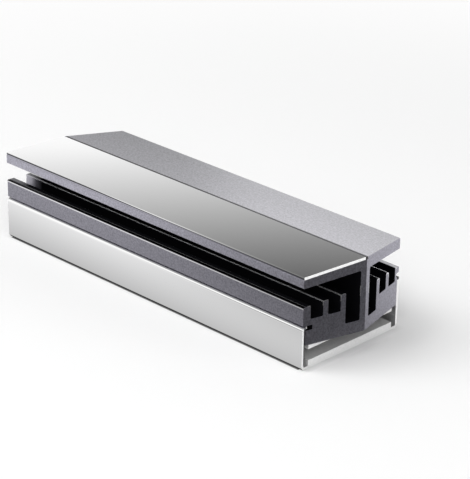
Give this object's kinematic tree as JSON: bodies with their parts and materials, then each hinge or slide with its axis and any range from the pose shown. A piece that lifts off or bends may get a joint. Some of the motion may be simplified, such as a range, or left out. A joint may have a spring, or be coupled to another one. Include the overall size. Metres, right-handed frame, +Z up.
{
  "type": "ssd heat sink",
  "caption": "Finned extruded heat sink with a gable roof and a sheet tray that slides on below, holding a 22 mm wide memory card between two soft pads.",
  "frame": {"origin": "under the tray, in the middle of its underside", "axes": "+X along the card towards the pointed end, +Y across towards the tray's taller wall, +Z up from the tray to the roof"},
  "size_m": [0.079, 0.0238, 0.0179],
  "materials": {
    "anodised_aluminium": "fine blasted and anodised, bluish grey",
    "mirror_strip": "mirror polished",
    "polished_sheet": "polished sheet",
    "thermal_pad": "soft matte silicone"
  },
  "bodies": {
    "tray": {"clip_tray": "polished_sheet", "lower_thermal_pad": "thermal_pad"},
    "sink": {"heat_sink": "anodised_aluminium", "polished_strip": "mirror_strip", "upper_thermal_pad": "thermal_pad"}
  },
  "joints": [
    {"name": "sink_slide", "type": "slide", "parent": "tray", "child": "sink", "axis": [1, 0, 0], "range_m": [0, 0.078]}
  ]
}
